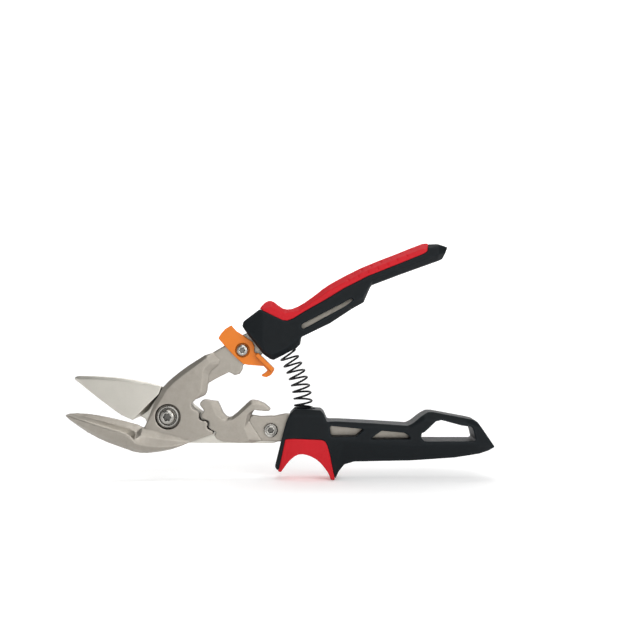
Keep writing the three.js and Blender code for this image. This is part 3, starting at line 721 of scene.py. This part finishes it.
@dataclass
class DimpleRows:
    """Rows of small round dimples along the flank of the thumb pad.

    Attributes:
        start: Plan position (x, z) of the first dimple in metres.
        end: Plan position of the last one.
        count: Dimples in a row.
        rows: Number of staggered rows.
        spacing: Distance between the rows.
        radius: Radius of a dimple.
        depth: Depth of a dimple.
        flank: Distance from the middle plane beyond which the pad is flank.
    """

    start: tuple[float, float] = (107 * MM, 80.8 * MM)
    end: tuple[float, float] = (147 * MM, 97.4 * MM)
    count: int = 7
    rows: int = 2
    spacing: float = 2.6 * MM
    radius: float = 1.15 * MM
    depth: float = 0.5 * MM
    flank: float = 4 * MM

    def centres(self) -> list[tuple[float, float]]:
        """Plan positions of the dimples.

        Returns:
            One (x, z) per dimple.
        """
        first, last = Vector(self.start), Vector(self.end)
        step = (last - first) / self.count
        across = Vector((-step.y, step.x)).normalized()
        found = []
        for row in range(self.rows):
            for i in range(self.count):
                spot = first + step * (i + 0.5 * row) + across * (self.spacing * row)
                found.append((spot.x, spot.y))
        return found

    def press(self, piece: bpy.types.Object, middle: float) -> None:
        """Presses the dimples into both flanks of a piece.

        Args:
            piece: Evenly meshed pad.
            middle: Depth of the pad's middle plane.
        """
        points = points_of(piece)
        side = np.sign(points[:, 1] - middle)
        flank = np.abs(points[:, 1] - middle) > self.flank
        for x, z in self.centres():
            away = np.hypot(points[:, 0] - x, points[:, 2] - z) / self.radius
            dip = np.where((away < 1) & flank, (1 - away**2) ** 2, 0.0)
            points[:, 1] -= side * dip * self.depth
        set_points(piece, points)


@dataclass
class Handles(Assembly):
    """Both moulded handles with their soft pads and spring pegs.

    Attributes:
        voxel: Mesh size of the mouldings.
        pad_share: Share of the mesh size used on the pads.
        peg_voxel: Mesh size of the spring pegs.
        rounds: Smoothing passes.
        finger_rounds: Smoothing passes of the finger pad.
        peg_rounds: Smoothing passes of the pegs.
        wear_and_painted_light: Strength of the rubbed edges with their painted highlight and of the
            painted shade in hollows.
        middle: Depth of the handles' middle plane.
        grow: How far the surfaces move outwards to close the gap at a pad.
        dimples: Dimples of the thumb pad.
    """

    voxel: float = 0.45 * MM
    pad_share: float = 0.75
    peg_voxel: float = 0.25 * MM
    rounds: int = 4
    finger_rounds: int = 5
    peg_rounds: int = 3
    wear_and_painted_light: float = 2.2
    middle: float = -11.3 * MM
    grow: float = 0.2 * MM
    dimples: DimpleRows = field(default_factory=DimpleRows)

    def build(self) -> None:
        """Builds the four mouldings and the two pegs."""
        hard = (self.voxel, self.rounds, self.wear_and_painted_light, self.grow)
        soft = (self.voxel * self.pad_share, self.rounds, self.wear_and_painted_light, self.grow)
        arched = (self.voxel * self.pad_share, self.finger_rounds, self.wear_and_painted_light, self.grow)
        upper = refined("upper_grip", "upper_handle_shell", *hard)
        lower = refined("lower_grip", "lower_handle_shell", *hard)
        thumb = refined("upper_thumb_pad", "thumb_pad_skin", *soft)
        finger = refined("lower_finger_pad", "finger_pad_skin", *arched)
        self.dimples.press(thumb, self.middle)
        self.pieces = [
            Piece(upper, Body.UPPER_HANDLE, NYLON, "grip_black"),
            Piece(lower, Body.LOWER_HANDLE, NYLON, "grip_black"),
            Piece(thumb, Body.UPPER_HANDLE, RUBBER, "pad_red"),
            Piece(finger, Body.LOWER_HANDLE, RUBBER, "pad_red"),
        ]
        pegs = (("upper_spring_peg", Body.UPPER_HANDLE), ("lower_spring_peg", Body.LOWER_HANDLE))
        for name, body in pegs:
            peg = refined(name, f"{name}_moulding", self.peg_voxel, self.peg_rounds)
            self.pieces.append(Piece(peg, body, NYLON, "grip_black"))


@dataclass
class CoilSpring:
    """Open coil spring from the upper handle to the pocket in the lower one.

    No joint joins the two handles. The wire rides on no body, so its lower end doesn't
    follow the lower handle.

    Attributes:
        axis: Plan points (x, z) of the coil's axis in millimetres, top first.
        depth: Depth of the axis.
        coil_radius: Mean coil radius.
        wire_radius: Wire radius.
        turns: Number of turns.
        phase: Turn fraction at which the wire starts.
        steps: Points per turn.
        sides: Sides of the wire.
        samples: Points of the axis before it is softened.
        window: Width of the softening, in those points, an odd number.
        tip: How far an end is domed, as a share of the wire's radius.
        obj: The wire, once it is built.
    """

    axis: tuple[tuple[float, float], ...] = (
        (69.6, 40.2), (71.9, 35.7), (75.6, 27.8), (78.5, 19.7), (80.2, 11.2), (80.9, 0.6),
    )
    depth: float = -11.3 * MM
    coil_radius: float = 5.15 * MM
    wire_radius: float = 0.6 * MM
    turns: float = 9.6
    phase: float = 0.33
    steps: int = 40
    sides: int = 12
    samples: int = 400
    window: int = 61
    tip: float = 0.5
    obj: bpy.types.Object | None = None

    def centre_line(self, count: int) -> np.ndarray:
        """Even points on the bent axis.

        Args:
            count: Number of points.

        Returns:
            Array of (x, y, z) rows.
        """
        knots = np.array([(x * MM, self.depth, z * MM) for x, z in self.axis])
        gaps = np.linalg.norm(np.diff(knots, axis=0), axis=1)
        at = np.concatenate([[0], np.cumsum(gaps)])
        fine = np.linspace(0, at[-1], self.samples)
        path = np.stack([np.interp(fine, at, knots[:, k]) for k in range(3)], axis=1)
        kernel = np.hanning(self.window) / np.hanning(self.window).sum()
        margin = self.window // 2
        padded = np.pad(path, ((margin, margin), (0, 0)), mode="reflect", reflect_type="odd")
        soft = np.stack([np.convolve(padded[:, k], kernel, "valid") for k in range(3)], axis=1)
        run = np.concatenate([[0], np.cumsum(np.linalg.norm(np.diff(soft, axis=0), axis=1))])
        want = np.linspace(0, run[-1], count)
        return np.stack([np.interp(want, run, soft[:, k]) for k in range(3)], axis=1)

    def build(self) -> None:
        """Builds the wire as a tube with rounded ends."""
        count = int(self.turns * self.steps) + 1
        centre = self.centre_line(count)
        tangent = np.gradient(centre, axis=0)
        tangent /= np.linalg.norm(tangent, axis=1)[:, None]
        across = np.stack([-tangent[:, 2], np.zeros(count), tangent[:, 0]], axis=1)
        angle = (np.linspace(0, self.turns, count)[:, None] + self.phase) * 2 * math.pi
        side = np.array([0.0, -1.0, 0.0])
        wire = centre + self.coil_radius * (across * np.cos(angle) + side * np.sin(angle))
        run = np.gradient(wire, axis=0)
        run /= np.linalg.norm(run, axis=1)[:, None]
        outward = wire - centre
        outward -= run * np.einsum("ij,ij->i", outward, run)[:, None]
        outward /= np.linalg.norm(outward, axis=1)[:, None]
        third = np.cross(run, outward)
        mesh = bpy.data.meshes.new(SPRING_NAME)
        vertices, faces = [], []
        around = [2 * math.pi * k / self.sides for k in range(self.sides)]
        for i in range(count):
            for a in around:
                offset = outward[i] * math.cos(a) + third[i] * math.sin(a)
                vertices.append(wire[i] + offset * self.wire_radius)
        for i in range(count - 1):
            for k in range(self.sides):
                a, b = i * self.sides + k, i * self.sides + (k + 1) % self.sides
                faces.append((a, b, b + self.sides, a + self.sides))
        for row, way in ((0, -1), (count - 1, 1)):
            end = len(vertices)
            vertices.append(wire[row] + run[row] * self.wire_radius * self.tip * way)
            for k in range(self.sides):
                a, b = row * self.sides + k, row * self.sides + (k + 1) % self.sides
                faces.append((b, a, end) if way < 0 else (a, b, end))
        mesh.from_pydata([tuple(v) for v in vertices], [], faces)
        mesh.update()
        mesh.shade_smooth()
        self.obj = link_new(SPRING_NAME, mesh)
        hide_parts("return_spring")

    def dress(self) -> None:
        """Gives the spring its surface and bakes its placement into its mesh."""
        self.obj.data.materials.append(OXIDE.material())
        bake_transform(self.obj)
        log.info("%s bends between the upper handle and the frame", self.obj.name)


# ---------------------------------------------------------------- studio
@dataclass(frozen=True)
class SoftBox:
    """One large area light.

    Attributes:
        name: Name of the light.
        position: Where it stands, in metres.
        size: Edge length.
        power: Watts.
    """

    name: str
    position: tuple[float, float, float]
    size: float
    power: float

    def place(self, aim: Vector) -> None:
        """Creates the light, aimed at a point.

        Args:
            aim: Point it looks at.
        """
        data = bpy.data.lights.new(self.name, "AREA")
        data.size = self.size
        data.energy = self.power
        lamp = bpy.data.objects.new(self.name, data)
        lamp.location = self.position
        lamp.rotation_euler = (aim - Vector(self.position)).to_track_quat("-Z", "Y").to_euler()
        bpy.context.scene.collection.objects.link(lamp)


@dataclass
class Studio:
    """Floor, backdrop, lights and camera.

    Attributes:
        aim: Point that the camera and the lights look at.
        distance: How far the camera stands on the -Y side.
        lens: Focal length in millimetres.
        floor_gap: Gap between the floor and the lowest point of the tool.
        half_width: Half the floor's width along X.
        front_edge: Where the floor starts, along Y.
        bend_start: Where the floor starts to rise.
        bend_radius: Radius of the rise.
        bend_steps: Facets of the rise.
        wall_height: Height of the wall above the floor.
        paper_dark: Darker tone of the paper.
        paper_light: Lighter tone of the paper.
        paper_patch: Size of its patches in metres.
        paper_roughness: Its roughness.
        paper_specular: Level of its highlight.
        glow_low: Glow of the floor.
        glow_high: Glow from glow_height upwards.
        glow_height: Height over which the glow grows.
        world_light: Strength of the surrounding as a light.
        world_seen: Strength of the surrounding where the camera sees it.
        boxes: The soft boxes.
        near_clip: Nearest distance that the camera sees.
    """

    aim: Vector = field(default_factory=lambda: Vector((0.0916, 0.0, 0.0563)))
    distance: float = 0.5294
    lens: float = 48.45
    floor_gap: float = 0.3 * MM
    half_width: float = 1.6
    front_edge: float = -1.4
    bend_start: float = 0.55
    bend_radius: float = 0.35
    bend_steps: int = 12
    wall_height: float = 1.5
    paper_dark: Colour = (0.9, 0.9, 0.9)
    paper_light: Colour = (0.93, 0.93, 0.93)
    paper_patch: float = 0.3
    paper_roughness: float = 0.9
    paper_specular: float = 0.1
    glow_low: float = 0.22
    glow_high: float = 0.6
    glow_height: float = 0.12
    world_light: float = 0.16
    world_seen: float = 0.9
    near_clip: float = 0.01
    boxes: tuple[SoftBox, ...] = (
        SoftBox("key", (0.25, -0.7, 0.85), 0.65, 4.2),
        SoftBox("side", (0.8, -0.85, 0.32), 0.55, 3.6),
        SoftBox("front", (0.12, -1.45, 0.16), 0.5, 3.4),
        SoftBox("fill", (-0.85, -0.6, 0.3), 0.6, 0.7),
        SoftBox("top", (0.05, 0.1, 1.0), 0.6, 4),
    )

    def build(self) -> None:
        """Builds the whole studio."""
        self.backdrop()
        self.lights()
        self.camera()

    def backdrop(self) -> None:
        """Floor that sweeps up into a wall, pale and matt."""
        low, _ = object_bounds()
        level = low[2] - self.floor_gap
        profile = [(self.front_edge, level)]
        for k in range(self.bend_steps + 1):
            angle = math.pi / 2 * k / self.bend_steps
            along = self.bend_start + self.bend_radius * math.sin(angle)
            profile.append((along, level + self.bend_radius * (1 - math.cos(angle))))
        profile.append((self.bend_start + self.bend_radius, level + self.wall_height))
        mesh = bpy.data.meshes.new("studio_floor")
        vertices = [(x, y, z) for x in (-self.half_width, self.half_width) for y, z in profile]
        count = len(profile)
        faces = [(i, i + 1, count + i + 1, count + i) for i in range(count - 1)]
        mesh.from_pydata(vertices, [], faces)
        mesh.shade_smooth()
        floor = link_new("studio_floor", mesh)
        material = bpy.data.materials.new("studio_paper")
        graph = Graph(material)
        shader = graph.add("ShaderNodeBsdfPrincipled")
        output = graph.add("ShaderNodeOutputMaterial")
        tone = graph.mix(graph.noise(self.paper_patch), self.paper_dark, self.paper_light)
        graph.link(tone, shader.inputs["Base Color"])
        shader.inputs["Roughness"].default_value = self.paper_roughness
        shader.inputs["Specular IOR Level"].default_value = self.paper_specular
        shader.inputs["Emission Color"].default_value = WHITE
        place = graph.add("ShaderNodeSeparateXYZ")
        graph.link(graph.add("ShaderNodeTexCoord").outputs["Object"], place.inputs["Vector"])
        top = level + self.glow_height
        glow = graph.remap(place.outputs["Z"], self.glow_low, self.glow_high, level, top)
        graph.link(glow, shader.inputs["Emission Strength"])
        graph.link(shader.outputs["BSDF"], output.inputs["Surface"])
        floor.data.materials.append(material)
        floor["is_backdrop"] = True

    def lights(self) -> None:
        """Large soft boxes and a white surrounding that is pale where the camera sees it."""
        for box in self.boxes:
            box.place(self.aim)
        world = bpy.data.worlds.new("studio")
        world.use_nodes = True
        background = world.node_tree.nodes["Background"]
        background.inputs["Color"].default_value = WHITE
        nodes, links = world.node_tree.nodes, world.node_tree.links
        seen = nodes.new("ShaderNodeLightPath")
        level = nodes.new("ShaderNodeMapRange")
        level.inputs["To Min"].default_value = self.world_light
        level.inputs["To Max"].default_value = self.world_seen
        links.new(seen.outputs["Is Camera Ray"], level.inputs["Value"])
        links.new(level.outputs["Result"], background.inputs["Strength"])
        bpy.context.scene.world = world

    def camera(self) -> None:
        """Level camera square to the tool's latch side."""
        data = bpy.data.cameras.new("camera")
        data.lens = self.lens
        data.clip_start = self.near_clip
        camera = bpy.data.objects.new("camera", data)
        camera.location = (self.aim.x, -self.distance, self.aim.z)
        camera.rotation_euler = (math.pi / 2, 0, 0)
        bpy.context.scene.collection.objects.link(camera)
        bpy.context.scene.camera = camera
        bpy.context.scene.view_settings.view_transform = "Standard"


def main() -> None:
    """Builds every sub-assembly in order and the studio round them."""
    logging.basicConfig(level=logging.INFO, format="%(name)s: %(message)s")
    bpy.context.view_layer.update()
    studio = Studio()
    studio.build()
    for assembly in (Jaws(), Fasteners(), Catch(), Handles(), CoilSpring()):
        assembly.build()
        assembly.dress()


if __name__ == "__main__":
    main()
